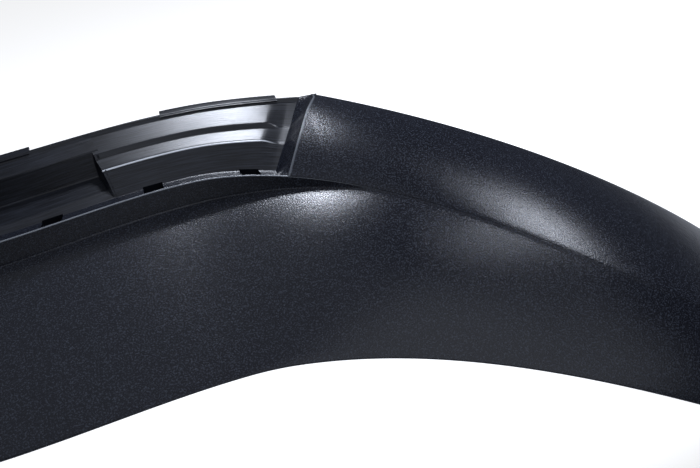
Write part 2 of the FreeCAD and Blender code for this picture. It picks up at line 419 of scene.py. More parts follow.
@dataclass(frozen=True)
class GrainedPolypropylene:
    """Filled polypropylene moulded in an etched tool: near black, with a grain that breaks highlights."""

    colour: str = "#0C0E17"
    pale_colour: str = "#121521"
    roughness: float = 0.23
    roughness_spread: float = 0.08
    ior: float = 1.49
    # The real grain is about 0.7 mm wide. It is drawn twice as wide, because it would not show otherwise.
    grain_mm: float = 1.5
    grain_depth_mm: float = 0.30
    grain_strength: float = 0.7
    grain_detail: float = 2.0
    grain_harshness: float = 0.6
    # Grain heights between which a pebble's top turns to the speck's colour
    speck_low: float = 0.50
    speck_high: float = 0.68
    speck_colour: str = "#3A3F4A"
    # Pale colour of the painted highlight on marked rounded edges, standing in for their glint
    highlight_colour: str = "#A4A9B0"
    cloud_mm: float = 160.0
    cloud_detail: float = 4.0

    def material(self) -> bpy.types.Material:
        """Build the material: grain as bump, specks on the grain's tops, a faint cloud in its colour and a
        painted highlight on marked edges.

        Returns:
            The new material.
        """
        made = bare_material("Grained polypropylene, moulded")
        tree = made.node_tree
        place = add_node(tree, "ShaderNodeTexCoord").outputs["Object"]
        grain = add_node(tree, "ShaderNodeTexNoise",
                         {"Scale": 1.0 / (self.grain_mm * MM), "Detail": self.grain_detail,
                          "Roughness": self.grain_harshness}, {"Vector": place})
        cloud = add_node(tree, "ShaderNodeTexNoise",
                         {"Scale": 1.0 / (self.cloud_mm * MM), "Detail": self.cloud_detail},
                         {"Vector": place})
        tone = add_node(tree, "ShaderNodeMix",
                        {"data_type": "RGBA", MIX_A: linear(self.colour), MIX_B: linear(self.pale_colour)},
                        {"Factor": cloud.outputs["Fac"]})
        high = add_node(tree, "ShaderNodeMapRange", {"From Min": self.speck_low, "From Max": self.speck_high},
                        {"Value": grain.outputs["Fac"]})
        specked = add_node(tree, "ShaderNodeMix", {"data_type": "RGBA", MIX_B: linear(self.speck_colour)},
                           {"Factor": high.outputs["Result"], MIX_A: tone.outputs[MIX_RESULT]})
        # Painted highlight: marked edges are mixed to the pale colour
        highlighted = mix_painted_highlight(tree, specked.outputs[MIX_RESULT], self.highlight_colour)
        bump = add_node(tree, "ShaderNodeBump",
                        {"Strength": self.grain_strength, "Distance": self.grain_depth_mm * MM},
                        {"Height": grain.outputs["Fac"]})
        shine = add_node(tree, "ShaderNodeMapRange",
                         {"To Min": self.roughness - self.roughness_spread,
                          "To Max": self.roughness + self.roughness_spread},
                         {"Value": grain.outputs["Fac"]})
        surface = add_node(tree, "ShaderNodeBsdfPrincipled", {"IOR": self.ior},
                           {"Base Color": highlighted, "Roughness": shine.outputs["Result"],
                            "Normal": bump.outputs["Normal"]})
        add_node(tree, "ShaderNodeOutputMaterial", links={"Surface": surface.outputs["BSDF"]})
        return made


@dataclass(frozen=True)
class SmoothPolypropylene:
    """The same polypropylene from a plain tool face: smoother, greyer, streaked along the moulding."""

    colour: str = "#0F1117"
    streak_colour: str = "#2A2E38"
    # Pale colour of the painted highlight on the ridge and other marked edges, standing in for their glint
    highlight_colour: str = "#D0D4DA"
    roughness: float = 0.27
    roughness_below: float = 0.06
    roughness_above: float = 0.14
    ior: float = 1.49
    streak_width_mm: float = 1.6
    streak_length_mm: float = 45.0
    streak_depth_mm: float = 0.3
    streak_strength: float = 0.35
    streak_detail: float = 3.0
    streak_harshness: float = 0.65
    # Noise heights between which the colour turns to the streak's
    streak_low: float = 0.42
    streak_high: float = 0.72

    def material(self) -> bpy.types.Material:
        """Build the material with streaks that follow the UV map, which runs in metres along the moulding, and
        a painted highlight on marked edges.

        Returns:
            The new material.
        """
        made = bare_material("Smooth polypropylene, moulded")
        tree = made.node_tree
        place = add_node(tree, "ShaderNodeTexCoord").outputs["UV"]
        scale = (1.0 / (self.streak_length_mm * MM), 1.0 / (self.streak_width_mm * MM), 1.0)
        drawn = add_node(tree, "ShaderNodeMapping", {"Scale": scale}, {"Vector": place})
        streak = add_node(tree, "ShaderNodeTexNoise",
                          {"Scale": 1.0, "Detail": self.streak_detail, "Roughness": self.streak_harshness},
                          {"Vector": drawn.outputs["Vector"]})
        sharp = add_node(tree, "ShaderNodeMapRange",
                         {"From Min": self.streak_low, "From Max": self.streak_high},
                         {"Value": streak.outputs["Fac"]})
        tone = add_node(tree, "ShaderNodeMix",
                        {"data_type": "RGBA", MIX_A: linear(self.colour), MIX_B: linear(self.streak_colour)},
                        {"Factor": sharp.outputs["Result"]})
        shine = add_node(tree, "ShaderNodeMapRange",
                         {"To Min": self.roughness - self.roughness_below,
                          "To Max": self.roughness + self.roughness_above},
                         {"Value": streak.outputs["Fac"]})
        bump = add_node(tree, "ShaderNodeBump",
                        {"Strength": self.streak_strength, "Distance": self.streak_depth_mm * MM},
                        {"Height": streak.outputs["Fac"]})
        # Painted highlight: marked edges are mixed to the pale colour
        highlighted = mix_painted_highlight(tree, tone.outputs[MIX_RESULT], self.highlight_colour)
        surface = add_node(tree, "ShaderNodeBsdfPrincipled", {"IOR": self.ior},
                           {"Base Color": highlighted, "Roughness": shine.outputs["Result"],
                            "Normal": bump.outputs["Normal"]})
        add_node(tree, "ShaderNodeOutputMaterial", links={"Surface": surface.outputs["BSDF"]})
        return made


@dataclass
class Workshop:
    """What every sub-assembly needs: the guide curves and the two finishes."""

    form: SpoilerForm
    grained: bpy.types.Material
    smooth: bpy.types.Material
    fine_stations: int = 2600
    crease_angle: float = 38.0

    def sweep(self, section: Section, starts: np.ndarray | float | None, ends: np.ndarray | float | None,
              count: int) -> tuple[np.ndarray, np.ndarray]:
        """Carry a section along the plan curve, with a start and an end of its own for each ring column.

        Args:
            section: Function from stations to rings.
            starts: First station of each column, or one for all, or None to mirror the ends.
            ends: Last station of each column, or None to end on the ground.
            count: Number of stations.

        Returns:
            Grid of points in metres and grid of UV coordinates in metres.
        """
        limit = self.form.plan_end
        fine = np.linspace(-limit, limit, self.fine_stations)
        rings = section(fine)
        columns = rings.shape[1]
        if ends is None:
            height = self.form.place(fine[:, None], rings)[..., 2]
            ends = ground_station(fine, height)
        starts = np.broadcast_to(np.asarray(-ends if starts is None else starts, float), columns)
        ends = np.broadcast_to(np.asarray(ends, float), columns)
        share = np.linspace(0.0, 1.0, count)[:, None]
        station = starts + share * (ends - starts)
        place = (station - fine[0]) / (fine[1] - fine[0])
        index = np.clip(place.astype(int), 0, len(fine) - 2)
        weight = (place - index)[..., None]
        column = np.arange(columns)[None, :]
        picked = rings[index, column] * (1.0 - weight) + rings[index + 1, column] * weight
        grid = self.form.place(station, picked)
        steps = np.diff(picked, axis=1, prepend=picked[:, :1])
        girth = np.linalg.norm(steps, axis=-1).cumsum(axis=1) * MM
        length = station * self.form.plan_half_width * MM
        return grid, np.stack([length, girth], axis=-1)

    def tube(self, name: str, swept: tuple[np.ndarray, np.ndarray], side: Side, finish: bpy.types.Material,
             grained_columns: int = 0, painted_highlight: np.ndarray | float = 0.0) -> bpy.types.Object:
        """Close a swept grid of rings into a solid piece with flat ends.

        Args:
            name: Name of the piece.
            swept: Grid of points and grid of UV coordinates, for the right-hand side.
            side: Half of the car.
            finish: Material of the piece.
            grained_columns: First ring columns that have the grained finish instead.
            painted_highlight: How strongly each grid point takes the painted highlight, from 0 to 1.

        Returns:
            The new object.
        """
        grid, chart = swept
        rows, columns = grid.shape[:2]
        number = np.arange(rows * columns).reshape(rows, columns)
        ahead = np.roll(number, -1, axis=1)
        sides = np.stack([number[:-1], number[1:], ahead[1:], ahead[:-1]], axis=-1).reshape(-1, 4)
        half = np.arange(columns // 2 - 1)
        far = columns - 1 - half
        cap = np.stack([half, half + 1, far - 1, far], axis=-1)
        last = (rows - 1) * columns
        quads = np.concatenate([sides, cap, cap[:, ::-1] + last])
        points = (grid * (side.value, 1.0, 1.0)).reshape(-1, 3)
        made = self.piece(name, points, quads, chart.reshape(-1, 2), finish)
        # Per-point share of the painted highlight, which the materials read to pale the marked edges
        highlighted = made.data.attributes.new("painted_highlight", "FLOAT", "POINT")
        highlighted.data.foreach_set("value", np.broadcast_to(painted_highlight, grid.shape[:2]).astype(np.float32).ravel())
        if grained_columns:
            made.data.materials.append(self.grained)
            strip = np.tile(np.arange(columns) < grained_columns, rows - 1)
            strip = np.concatenate([strip, np.zeros(2 * len(cap), bool)])
            made.data.polygons.foreach_set("material_index", strip.astype(np.int32))
        return made

    def cutter(self, name: str, vertices: np.ndarray, quads: np.ndarray) -> bpy.types.Object:
        """Make a plain closed block that carve() uses up, with its faces turned outwards.

        Args:
            name: Name of the block.
            vertices: Points in metres.
            quads: Four vertex numbers per face.

        Returns:
            The new object.
        """
        mesh = bpy.data.meshes.new(name)
        mesh.from_pydata(vertices.tolist(), [], turned_out(vertices, quads).tolist())
        return linked(name, mesh)

    def piece(self, name: str, vertices: np.ndarray, quads: np.ndarray, chart: np.ndarray,
              finish: bpy.types.Material) -> bpy.types.Object:
        """Make one dressed object from vertices, quads and UV coordinates, with its faces turned outwards.

        Args:
            name: Name of the piece.
            vertices: Points in metres.
            quads: Four vertex numbers per face.
            chart: UV coordinates per vertex.
            finish: Material of the piece.

        Returns:
            The new object, riding on the body.
        """
        quads = turned_out(vertices, quads)
        mesh = bpy.data.meshes.new(name)
        mesh.from_pydata(vertices.tolist(), [], quads.tolist())
        layer = mesh.uv_layers.new(name="along")
        layer.data.foreach_set("uv", chart[quads.reshape(-1)].astype(np.float32).ravel())
        made = linked(name, mesh)
        mesh.materials.append(finish)
        self.finish_shading(made)
        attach(made, "root")
        LOG.info("%s: %d faces", name, len(quads))
        return made

    def finish_shading(self, made: bpy.types.Object) -> None:
        """Shade a piece smooth, apart from its real corners."""
        made.data.shade_smooth()
        made.data.set_sharp_from_angle(angle=math.radians(self.crease_angle))

    def carve(self, made: bpy.types.Object, cutters: list[bpy.types.Object]) -> None:
        """Cut holes through a piece and drop the cutting blocks.

        Args:
            made: Piece to cut.
            cutters: Closed blocks, one per hole.
        """
        for cutter in cutters:
            step = made.modifiers.new(cutter.name, "BOOLEAN")
            step.object = cutter
            step.solver = "EXACT"
        graph = bpy.context.evaluated_depsgraph_get()
        carved = bpy.data.meshes.new_from_object(made.evaluated_get(graph))
        made.modifiers.clear()
        old = made.data
        carved.name = old.name
        made.data = carved
        bpy.data.meshes.remove(old)
        self.finish_shading(made)
        for cutter in cutters:
            bpy.data.objects.remove(cutter)


def turned_out(vertices: np.ndarray, quads: np.ndarray) -> np.ndarray:
    """Faces of a closed piece, reversed where they enclose a negative volume.

    Args:
        vertices: Points of the piece.
        quads: Four vertex numbers per face.

    Returns:
        The faces with their outsides outwards.
    """
    corner = vertices[quads] - vertices.mean(axis=0)
    first = np.einsum("ij,ij->i", corner[:, 0], np.cross(corner[:, 1], corner[:, 2]))
    second = np.einsum("ij,ij->i", corner[:, 0], np.cross(corner[:, 2], corner[:, 3]))
    return quads[:, ::-1] if np.sum(first + second) < 0.0 else quads


def ground_station(fine: np.ndarray, height: np.ndarray) -> np.ndarray:
    """Station at which each ring column meets the ground, by straight lines between fine stations.

    Args:
        fine: Stations from the left end to the right end.
        height: Height over the ground of each station and column.

    Returns:
        One station per column, on the right-hand side.
    """
    middle = len(fine) // 2
    above = height[middle:] > 0.0
    last = np.clip(middle + above.sum(axis=0) - 1, 0, len(fine) - 2)
    column = np.arange(height.shape[1])
    upper = height[last, column]
    lower = height[last + 1, column]
    return fine[last] + (fine[1] - fine[0]) * upper / (upper - lower)


@dataclass
class Apron:
    """Grained face below the seat line, with the ledge that overhangs it and ends in the rim."""

    shop: Workshop
    bulge_centre: float = 1.0
    bulge_peak: float = 11.2
    bulge_wing: float = 3.5
    bulge_rise: tuple[float, float] = (0.20, 0.39)
    bulge_fall: tuple[float, float] = (0.39, 0.68)
    corner_points: int = 4
    # Painted highlight along the rim, standing in for the glint on its rounded edge
    rim_highlight: float = 0.9
    rim_highlight_fade: tuple[float, float] = (0.36, 0.47)
    ledge_thickness: float = 3.0
    rim_inset: float = 2.0
    curve_points: int = 12
    edge_radius: float = 0.8
    rim_radius: float = 1.4
    ledge_radius: float = 1.8
    stations: int = 420

    def bulge(self, station: np.ndarray) -> np.ndarray:
        """Bulge of the face: eased from nearly flat at the centre to full at the ledge's end, then down.

        Args:
            station: Angles on the plan curve.

        Returns:
            One bulge per station, in millimetres.
        """
        rise = (self.bulge_peak - self.bulge_centre) * eased(station, *self.bulge_rise)
        fall = (self.bulge_peak - self.bulge_wing) * eased(station, *self.bulge_fall)
        return self.bulge_centre + rise - fall

    def section(self, station: np.ndarray) -> np.ndarray:
        """Ring of the apron: a shallow parabola up to the ledge, the ledge's underside and the rim.

        Args:
            station: Angles on the plan curve.

        Returns:
            One ring per station.
        """
        form = self.shop.form
        rim = form.seat_line(station)
        foot = point(form.edge_height(station), 0.0)
        under = rim - point(self.ledge_thickness, form.ledge(station) + self.rim_inset)
        face = bulged(foot, under, self.bulge(station), self.curve_points)
        outer = np.concatenate([face, rim[:, None]], axis=1)
        radii = np.full(self.curve_points + 1, np.inf)
        radii[[0, -2, -1]] = (self.edge_radius, self.ledge_radius, self.rim_radius)
        return rounded_ring(outer, offset(outer, form.wall), radii, self.corner_points)

    def painted_highlight(self, chart: np.ndarray) -> np.ndarray:
        """Paint a highlight on the rim's rounded edge from the centre to the ledge's end.

        Args:
            chart: UV coordinates of the grid, in metres.

        Returns:
            How strongly each grid point takes the painted highlight, from 0 to 1.
        """
        station = chart[..., 0] / (self.shop.form.plan_half_width * MM)
        first = self.curve_points * self.corner_points
        column = np.arange(chart.shape[1])
        rim = (column > first) & (column < first + self.corner_points - 1)
        return self.rim_highlight * rim * (1.0 - eased(station, *self.rim_highlight_fade))

    def build(self) -> None:
        """Make the apron from one wing end to the other."""
        swept = self.shop.sweep(self.section, None, None, self.stations)
        made = self.shop.tube("apron", swept, Side.RIGHT, self.shop.grained, painted_highlight=self.painted_highlight(swept[1]))
        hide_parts(NODE)


@dataclass
class Wing:
    """Grained corner panel above the crease, from the slanting recess end to the ground."""

    shop: Workshop
    root: float = 2.6
    curve_points: int = 12
    corner_points: int = 4
    root_radius: float = 0.1
    crease_radius: float = 0.3
    edge_radius: float = 0.9
    # Painted highlight on the first rows at the wing's slanting end, standing in for a glint on that edge
    end_highlight: float = 0.35
    highlight_rows: int = 2
    stations: int = 620

    def section(self, station: np.ndarray) -> np.ndarray:
        """Ring of the wing: a root hidden in the apron's wall, then a parabola to the upper edge.

        Args:
            station: Angles on the plan curve.

        Returns:
            One ring per station.
        """
        form = self.shop.form
        crease = form.seat_line(station)
        root = crease - (0.0, self.root)
        face = bulged(crease, form.wing_edge(station), form.wing_crown(station), self.curve_points)
        outer = np.concatenate([root[:, None], face], axis=1)
        radii = np.full(self.curve_points + 1, np.inf)
        radii[[0, 1, -1]] = (self.root_radius, self.crease_radius, self.edge_radius)
        return rounded_ring(outer, offset(outer, form.wall), radii, self.corner_points)

    def build(self, side: Side) -> None:
        """Make one wing.

        Args:
            side: Half of the car.
        """
        form = self.shop.form
        rings = self.section(np.array([form.recess_ends[0]]))[0]
        starts = form.slanted(rings[:, 0], form.recess_ends)
        swept = self.shop.sweep(self.section, starts, None, self.stations)
        # Painted highlight along the wing's slanting end
        painted_highlight = np.zeros(swept[0].shape[:2])
        painted_highlight[:self.highlight_rows] = self.end_highlight
        self.shop.tube(f"{side.word}_wing", swept, side, self.shop.grained, painted_highlight=painted_highlight)


@dataclass
class Flange:
    """Stepped flange behind the bumper skin, with its pocket, slanting walls, tabs and clip windows."""

    shop: Workshop
    seat_slope_height: float = 25.0
    seat_slope_depth: float = 10.5
    rim_inset: float = 2.0
    ridge_share: float = 0.48
    ridge_width: float = 3.0
    ridge_depth: float = 3.1
    # Painted highlight along the ridge, standing in for the glint on its rounded edge
    ridge_highlight: float = 1.0
    groove_share: float = 0.66
    groove_width: float = 3.0
    groove_foot_depth: float = 4.8
    tread_depth: float = 0.3
    plain_depth: float = 11.0
    plain_lean: float = 7.0
    run_out_start: float = 0.028
    run_out_length: float = 0.024
    lip_height: float = 6.0
    lip_depth: float = 3.5
    pocket_depth: float = 22.0
    pocket_roof_share: float = 0.74
    pocket_floor_share: float = 0.64
    wing_sink: float = 1.0
    face_sink: float = 0.3
    wall_lean: float = 0.021
    pocket_lean: float = 0.005
    lap: float = 0.004
    corner_radius: float = 1.4
    corner_points: int = 5
    stations: int = 160
    wall_rows: int = 60
    wall_columns: int = 8
    tab_height: float = 9.0
    tab_root: float = 5.0
    tab_thickness: float = 2.4
    tab_setback: float = 0.9
    tab_tooth: float = 0.8
    tab_tooth_pitch: float = 0.006
    tab_radius: float = 0.4
    side_tab: tuple[float, float] = (0.222, 0.372)
    centre_tab_half: float = 0.066
    window_width: float = 19.0
    window_height: float = 24.0
    window_foot: float = 3.0
    window_reach: tuple[float, float] = (-22.0, 12.0)
    window_pitch: float = 0.117
    first_window: float = 0.079
    side_windows: int = 3
    housing_depth: float = 24.0
    housing_wall: float = 2.0
    housing_radius: float = 0.6
    housing_rows: int = 12
    small_corner_points: int = 4

    def root(self, station: np.ndarray) -> list[np.ndarray]:
        """Root inside the ledge, and the inner end of the sloping seat.

        Args:
            station: Angles on the plan curve.

        Returns:
            Two arrays of section points, one point of each per station.
        """
        rim = self.shop.form.seat_line(station)
        return [
            rim + (self.shop.form.wall / 2.0, -self.rim_inset),
            rim + (self.seat_slope_height, -self.seat_slope_depth),
        ]

    def crown(self, station: np.ndarray) -> list[np.ndarray]:
        """Upper lip."""
        top = self.shop.form.flange_top(station)
        return [top - (self.lip_height, self.lip_depth), top - (self.lip_height - self.lip_depth, 0.0), top]

    def along(self, station: np.ndarray, share: float, depth: np.ndarray | float) -> np.ndarray:
        """Point at a share of the line from seat to upper edge, set back by a depth.

        Args:
            station: Angles on the plan curve.
            share: Share of the line.
            depth: Depth in millimetres.

        Returns:
            One section point per station.
        """
        low = self.shop.form.seat_line(station)
        high = self.shop.form.flange_top(station)
        return low + share * (high - low) - point(0.0, depth)

    def run_out(self, station: np.ndarray, share: float) -> np.ndarray:
        """How far the steps have run out before the slanting recess end, at a share of the height.

        Args:
            station: Angles on the plan curve.
            share: Share of the flange's height.

        Returns:
            One measure per station, from 0 to 1.
        """
        low, high = self.shop.form.recess_ends
        end = low + share * (high - low) - self.wall_lean
        return smooth((np.abs(station) - end + self.run_out_start) / self.run_out_length)

    def faded(self, station: np.ndarray, share: float, depth: float) -> np.ndarray:
        """Point of a step, whose depth is eased to that of a plain leaning face where the steps run out."""
        plain = self.plain_depth - self.plain_lean * share
        return self.along(station, share, depth + (plain - depth) * self.run_out(station, share))

    def stepped_points(self, station: np.ndarray) -> np.ndarray:
        """Outer outline of the stairs: seat, lower face, ridge, middle face, groove and upper tread.

        Args:
            station: Angles on the plan curve.

        Returns:
            One open outline per station.
        """
        ridge = self.faded(station, self.ridge_share, self.ridge_depth)
        shelf = ridge + (self.ridge_width, 0.0)
        foot = self.faded(station, self.groove_share, self.groove_foot_depth)
        tread = self.faded(station, self.groove_share, self.tread_depth) + (self.groove_width, 0.0)
        return polyline(*self.root(station), ridge, shelf, foot, tread, *self.crown(station))

    def pocket_points(self, station: np.ndarray) -> np.ndarray:
        """Outer outline of the middle: seat, pocket floor, pocket roof and upper tread.

        Args:
            station: Angles on the plan curve.

        Returns:
            One open outline per station.
        """
        low = self.root(station)[-1]
        floor = self.along(station, self.pocket_floor_share, self.pocket_depth)
        bottom = point(low[:, 0] + self.seat_slope_depth, floor[:, 1])
        roof = self.along(station, self.pocket_roof_share, self.tread_depth)
        return polyline(*self.root(station), bottom, floor, roof, *self.crown(station))

    def painted_highlight(self, chart: np.ndarray) -> np.ndarray:
        """Paint a highlight on the ridge's rounded edge, as far as the steps run.

        Args:
            chart: UV coordinates of the grid, in metres.

        Returns:
            How strongly each grid point takes the painted highlight, from 0 to 1.
        """
        station = chart[..., 0] / (self.shop.form.plan_half_width * MM)
        first = 2 * self.corner_points
        column = np.arange(chart.shape[1])
        ridge = (column > first) & (column < first + self.corner_points - 1)
        return self.ridge_highlight * ridge * (1.0 - self.run_out(station, self.ridge_share))

    def ring(self, points: np.ndarray) -> np.ndarray:
        """Rounded ring of one wall behind an outline."""
        radii = np.full(points.shape[1], self.corner_radius)
        return rounded_ring(points, offset(points, self.shop.form.wall), radii, self.corner_points)

    def stepped_ring(self, station: np.ndarray) -> np.ndarray:
        """Ring of the stepped flange."""
        return self.ring(self.stepped_points(station))

    def pocket_ring(self, station: np.ndarray) -> np.ndarray:
        """Ring of the pocket."""
        return self.ring(self.pocket_points(station))

    def tab_ring(self, station: np.ndarray) -> np.ndarray:
        """Ring of a tab: a thin upright strip whose top edge is a fine saw tooth.

        Args:
            station: Angles on the plan curve.

        Returns:
            One ring per station.
        """
        top = self.shop.form.flange_top(station)
        tooth = self.tab_tooth * np.abs((station / self.tab_tooth_pitch) % 1.0 - 0.5)
        outer = polyline(top - (self.tab_root, self.tab_setback),
                         top + point(self.tab_height - tooth, -self.tab_setback))
        radii = np.full(2, self.tab_radius)
        return rounded_ring(outer, offset(outer, self.tab_thickness), radii, self.small_corner_points)

    def depth(self, outline: Section, station: float, share: np.ndarray) -> np.ndarray:
        """Depth of an outline behind the line from seat to upper edge, at shares of that line's height.

        Args:
            outline: Function from stations to outlines.
            station: Station at which the outline is read.
            share: Shares of the height.

        Returns:
            Depths in millimetres, by straight lines between the outline's points.
        """
        spot = np.array([station])
        points = outline(spot)[0]
        low = self.shop.form.seat_line(spot)[0]
        high = self.shop.form.flange_top(spot)[0]
        place = (points[:, 0] - low[0]) / (high[0] - low[0])
        return np.interp(share, place, low[1] + place * (high[1] - low[1]) - points[:, 1])

    def window_block(self, number: int, side: Side) -> bpy.types.Object:
        """Block that cuts one clip window, numbered from the centre.

        Args:
            number: Number of the window, from the centre.
            side: Half of the car.

        Returns:
            The new object.
        """
        form = self.shop.form
        angle = self.first_window + self.window_pitch * number
        across = self.window_width / 2.0 / form.plan_half_width
        corners = np.array(np.meshgrid([-1.0, 1.0], [0.0, 1.0], self.window_reach, indexing="ij"))
        corners = corners.reshape(3, -1).T
        spot = angle + corners[:, 0] * across
        height = self.window_foot + corners[:, 1] * self.window_height
        section = form.seat_line(spot) + point(height, corners[:, 2])
        points = form.place(spot, section) * (side.value, 1.0, 1.0)
        quads = np.array([(0, 1, 3, 2), (4, 6, 7, 5), (0, 4, 5, 1), (2, 3, 7, 6), (0, 2, 6, 4), (1, 5, 7, 3)])
        return self.shop.cutter(f"window_{number}", points, quads)

    def housing_ring(self, station: np.ndarray) -> np.ndarray:
        """Ring of a clip housing before it is hollowed: a block whose front lies inside the flange's wall.

        Args:
            station: Angles on the plan curve.

        Returns:
            One ring per station.
        """
        rim = self.shop.form.seat_line(station)
        low = self.window_foot - self.housing_wall
        high = self.window_foot + self.window_height + self.housing_wall
        front = self.rim_inset + self.shop.form.wall / 2.0
        outer = polyline(rim + (low, -front), rim + (low, -self.housing_depth))
        back = self.seat_slope_depth + self.rim_inset
        inner = polyline(rim + (high, -back), rim + (high, -self.housing_depth))
        return rounded_ring(outer, inner, np.full(2, self.housing_radius), self.small_corner_points)

    def housing(self, number: int, side: Side) -> None:
        """Make the cup behind one clip window, numbered from the centre.

        Args:
            number: Number of the window, from the centre.
            side: Half of the car.
        """
        angle = self.first_window + self.window_pitch * number
        across = (self.window_width / 2.0 + self.housing_wall) / self.shop.form.plan_half_width
        swept = self.shop.sweep(self.housing_ring, angle - across, angle + across, self.housing_rows)
        made = self.shop.tube(f"{side.word}_clip_housing_{number + 1}", swept, side, self.shop.smooth)
        self.shop.carve(made, [self.window_block(number, side)])

    def end_wall(self, name: str, near: np.ndarray, far: np.ndarray, side: Side,
                 finish: bpy.types.Material) -> None:
        """Wall of straight lines between two curves, one wall thick towards the wing.

        Args:
            name: Name of the piece.
            near: Points of the curve on the higher face.
            far: Points of the curve in the deeper face.
            side: Half of the car.
            finish: Material of the wall.
        """
        share = np.linspace(0.0, 1.0, self.wall_columns)[:, None, None]
        front = (near + share * (far - near)).transpose(1, 0, 2)
        back = front + np.array((self.shop.form.wall * MM, 0.0, 0.0))
        grid = np.concatenate([front, back[:, ::-1]], axis=1)
        self.shop.tube(name, (grid, grid[..., 1:]), side, finish)

    def recess_wall(self, side: Side) -> None:
        """Slanting wall at the recess end, from the wing's face into the flange's wall.

        Args:
            side: Half of the car.
        """
        form = self.shop.form
        ends = form.recess_ends
        top = form.wing_edge(np.array(ends[1]))[0]
        height = np.linspace(form.seat_height(np.array(ends[0])), top, self.wall_rows)
        station = form.slanted(height, ends)
        crease = form.seat_line(station)
        edge = form.wing_edge(station)
        share = np.clip((height - crease[:, 0]) / (edge[:, 0] - crease[:, 0]), 0.0, 1.0)
        bulge = 4.0 * form.wing_crown(station) * share * (1.0 - share)
        reach = crease[:, 1] + share * (edge[:, 1] - crease[:, 1]) + bulge
        wing = point(height, reach - self.wing_sink)
        inside = station - self.wall_lean
        seat = form.seat_line(inside)
        line = seat + share[:, None] * (form.flange_top(inside) - seat)
        far = line - point(0.0, self.depth(self.stepped_points, ends[1], share) + form.wall / 2.0)
        self.end_wall(f"{side.word}_recess_wall", form.place(station + self.lap, wing),
                      form.place(inside, far), side, self.shop.grained)

    def pocket_wall(self, side: Side) -> None:
        """Slanting wall at the pocket's side, from the stepped flange's face into the pocket's wall.

        Args:
            side: Half of the car.
        """
        form = self.shop.form
        ends = form.pocket_ends
        spot = np.array([ends[0]])
        low = form.seat_line(spot)[0, 0]
        high = form.flange_top(spot)[0, 0]
        share = np.linspace(self.seat_slope_height / (high - low), self.pocket_roof_share, self.wall_rows)
        station = form.slanted(low + share * (high - low), ends)
        seat = form.seat_line(station)
        line = seat + share[:, None] * (form.flange_top(station) - seat)
        near = line - point(0.0, self.depth(self.stepped_points, ends[0], share) + self.face_sink)
        far = line - point(0.0, self.depth(self.pocket_points, ends[0], share) + form.wall / 2.0)
        self.end_wall(f"{side.word}_pocket_wall", form.place(station, near),
                      form.place(station - self.pocket_lean, far), side, self.shop.smooth)

    def build(self) -> None:
        """Make the pocket, both stepped flanges, their walls and the tabs, and cut the clip windows."""
        form = self.shop.form
        rings = self.pocket_ring(np.array([form.pocket_ends[1]]))[0]
        ends = form.slanted(rings[:, 0], form.pocket_ends) + self.lap
        pocket = self.shop.sweep(self.pocket_ring, -ends, ends, self.stations)
        made = self.shop.tube("flange_pocket", pocket, Side.RIGHT, self.shop.smooth, self.corner_points + 2)
        self.shop.carve(made, [self.window_block(0, side) for side in Side])
        tab = self.shop.sweep(self.tab_ring, -self.centre_tab_half, self.centre_tab_half, self.stations)
        self.shop.tube("centre_tab", tab, Side.RIGHT, self.shop.smooth)
        for side in Side:
            self.build_side(side)

    def build_side(self, side: Side) -> None:
        """Make one stepped flange with its two slanting walls, its clip housings and its tab.

        Args:
            side: Half of the car.
        """
        form = self.shop.form
        rings = self.stepped_ring(np.array([form.recess_ends[0]]))[0]
        starts = form.slanted(rings[:, 0], form.pocket_ends)
        ends = form.slanted(rings[:, 0], form.recess_ends) - self.wall_lean + self.lap
        strip = self.shop.sweep(self.stepped_ring, starts, ends, self.stations)
        made = self.shop.tube(f"{side.word}_flange", strip, side, self.shop.smooth, self.corner_points + 2,
                              self.painted_highlight(strip[1]))
        self.shop.carve(made, [self.window_block(number, side) for number in range(1, self.side_windows)])
        self.recess_wall(side)
        self.pocket_wall(side)
        for number in range(self.side_windows):
            self.housing(number, side)
        tab = self.shop.sweep(self.tab_ring, *self.side_tab, self.stations)
        self.shop.tube(f"{side.word}_tab", tab, side, self.shop.smooth)


